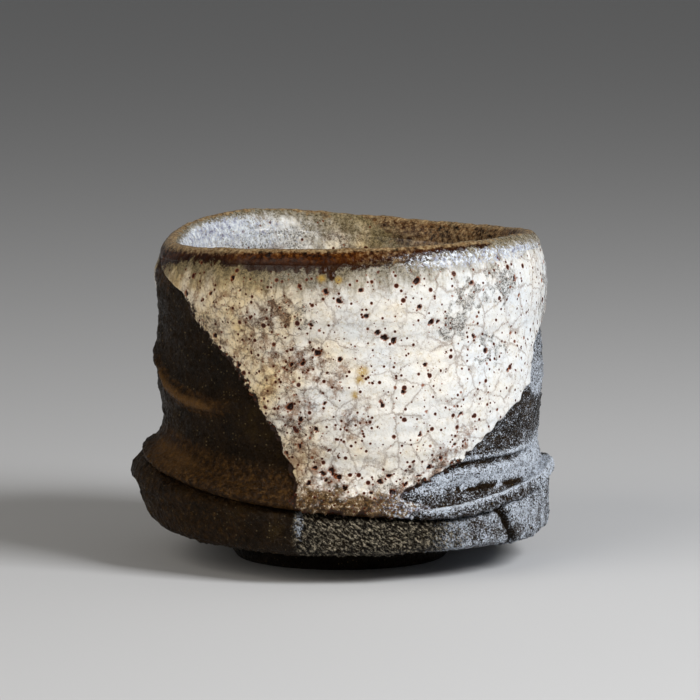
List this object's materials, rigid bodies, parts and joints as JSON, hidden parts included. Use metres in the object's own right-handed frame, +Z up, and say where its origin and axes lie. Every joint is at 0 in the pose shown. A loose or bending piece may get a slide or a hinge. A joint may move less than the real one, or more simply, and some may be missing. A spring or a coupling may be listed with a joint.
{
  "type": "guinomi sake cup",
  "caption": "Hand-thrown stoneware guinomi: straight wall over a folded skirt and knife-cut base, turned foot ring, crackled white glaze dips and an iron-brown lip.",
  "frame": {"origin": "centre of the foot ring on the surface that the cup stands on, which is the bottom centre of its box", "axes": "+Z up out of the cup's mouth, -Y towards the viewer of the main white panel, +X to that viewer's right"},
  "size_m": [0.0704, 0.0691, 0.0556],
  "materials": {
    "dark_stoneware": "bare coarse reduction-fired stoneware, matt, gritty",
    "turned_stoneware": "bare turned stoneware, matt",
    "white_glaze": "thick white feldspar glaze, satin, crackled and pinholed",
    "white_lining_glaze": "thin white feldspar glaze, glossy, crackled",
    "iron_brown_glaze": "thin iron-brown glaze with golden edges, glossy"
  },
  "bodies": {
    "root": {"wall": "dark_stoneware", "base": "dark_stoneware", "clay_lap": "dark_stoneware", "foot_ring": "turned_stoneware", "front_glaze": "white_glaze", "back_glaze": "white_glaze", "lining_glaze": "white_lining_glaze", "rim_glaze": "iron_brown_glaze"}
  },
  "joints": []
}
